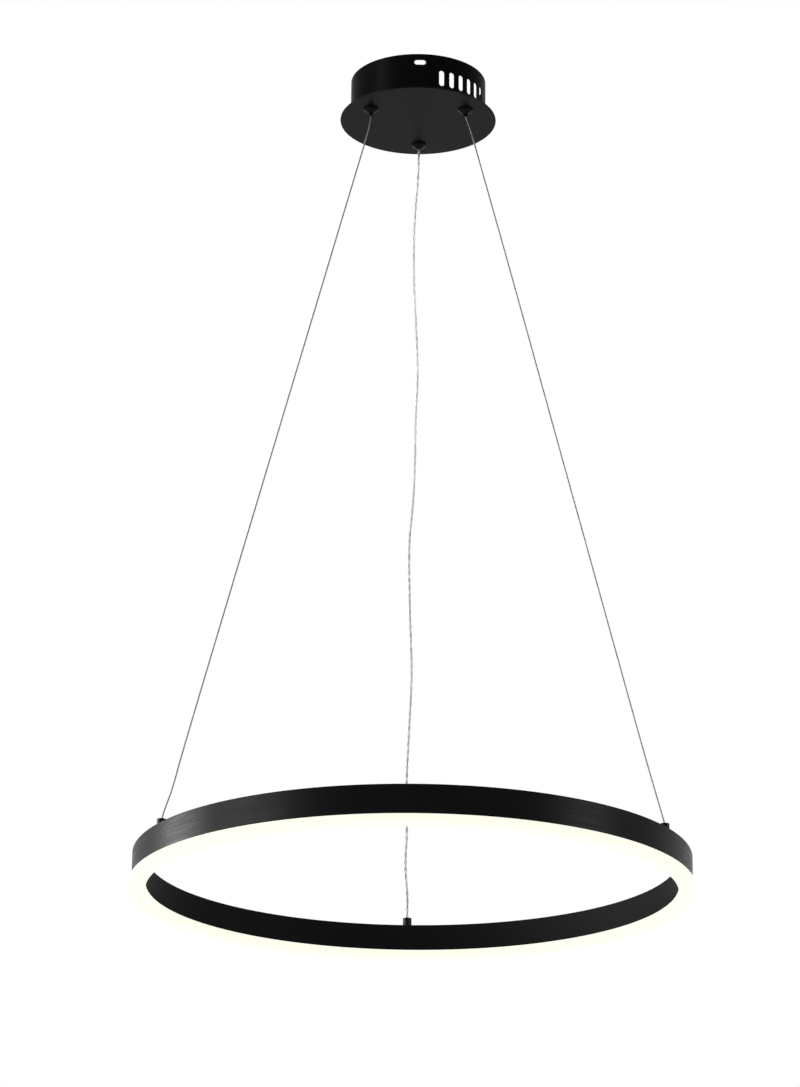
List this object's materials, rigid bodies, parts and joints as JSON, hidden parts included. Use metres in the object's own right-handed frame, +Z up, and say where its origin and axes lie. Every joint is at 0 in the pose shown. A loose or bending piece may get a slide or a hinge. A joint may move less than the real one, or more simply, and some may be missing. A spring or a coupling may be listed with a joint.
{
  "type": "led pendant light",
  "caption": "Black ring pendant light with an opal diffuser below, hung by thin wires and a clear power cord from a round ceiling canopy with vent slots.",
  "frame": {"origin": "centre of the ceiling strap's upper face, on the ceiling, above the canopy's middle", "axes": "+Z up, out of the canopy into the ceiling; +Y away from the picture's camera, towards the power cord's side; +X to the right in the picture"},
  "size_m": [0.606, 0.606, 0.9599],
  "materials": {
    "black_powder_coat": "satin",
    "black_anodised_aluminium": "satin",
    "black_lacquered_brass": "gloss",
    "zinc_plated_steel": "satin",
    "steel_wire": "gloss",
    "crimp_aluminium": "satin",
    "clear_pvc": "gloss",
    "lead_insulation": "satin",
    "soft_rubber": "matte",
    "opal_acrylic": "satin",
    "white_plastic": "satin",
    "circuit_board": "satin",
    "electronic_parts": "satin",
    "led_package": "satin",
    "solder_lead": "satin"
  },
  "bodies": {
    "canopy": {"canopy_can": "black_powder_coat", "canopy_plate": "black_powder_coat", "ceiling_strap": "zinc_plated_steel", "cord_grip_body": "black_lacquered_brass", "cord_grip_bush": "soft_rubber", "cord_grip_nut": "zinc_plated_steel", "cord_stop": "crimp_aluminium", "cord_tail": "lead_insulation", "driver_board": "circuit_board", "driver_components": "electronic_parts", "driver_lid": "white_plastic", "driver_tray": "white_plastic", "left_gripper_body": "black_lacquered_brass", "left_gripper_nut": "zinc_plated_steel", "left_gripper_plug": "zinc_plated_steel", "left_spring": "steel_wire", "left_wire": "steel_wire", "left_wire_stop": "crimp_aluminium", "mains_leads": "lead_insulation", "plate_nuts": "zinc_plated_steel", "power_cord": "clear_pvc", "right_gripper_body": "black_lacquered_brass", "right_gripper_nut": "zinc_plated_steel", "right_gripper_plug": "zinc_plated_steel", "right_spring": "steel_wire", "right_wire": "steel_wire", "right_wire_stop": "crimp_aluminium", "terminal_block": "white_plastic", "terminal_screws": "zinc_plated_steel"},
    "ring": {"ring_profile": "black_anodised_aluminium", "led_board": "circuit_board", "leds": "led_package", "board_leads": "solder_lead", "diffuser": "opal_acrylic", "cord_end": "clear_pvc", "cord_crimp": "crimp_aluminium", "left_ferrule_cap": "black_lacquered_brass", "left_ferrule_stud": "zinc_plated_steel", "left_wire_bead": "crimp_aluminium", "right_ferrule_cap": "black_lacquered_brass", "right_ferrule_stud": "zinc_plated_steel", "right_wire_bead": "crimp_aluminium", "cord_ferrule_cap": "black_lacquered_brass", "cord_ferrule_stud": "zinc_plated_steel", "ferrule_nuts": "zinc_plated_steel"},
    "left_plunger": {"left_plunger": "black_lacquered_brass", "left_balls": "steel_wire"},
    "right_plunger": {"right_plunger": "black_lacquered_brass", "right_balls": "steel_wire"}
  },
  "joints": [
    {"name": "ring_height", "type": "slide", "parent": "canopy", "child": "ring", "axis": [0, 0, 1], "range_m": [0, 0.45], "deforming": ["left_wire", "right_wire", "power_cord"]},
    {"name": "left_release", "type": "slide", "parent": "canopy", "child": "left_plunger", "axis": [0, 0, 1], "range_m": [0, 0.003], "stiffness_N_per_m": 500, "springref_m": -0.002, "deforming": ["left_spring"]},
    {"name": "right_release", "type": "slide", "parent": "canopy", "child": "right_plunger", "axis": [0, 0, 1], "range_m": [0, 0.003], "stiffness_N_per_m": 500, "springref_m": -0.002, "deforming": ["right_spring"]}
  ]
}
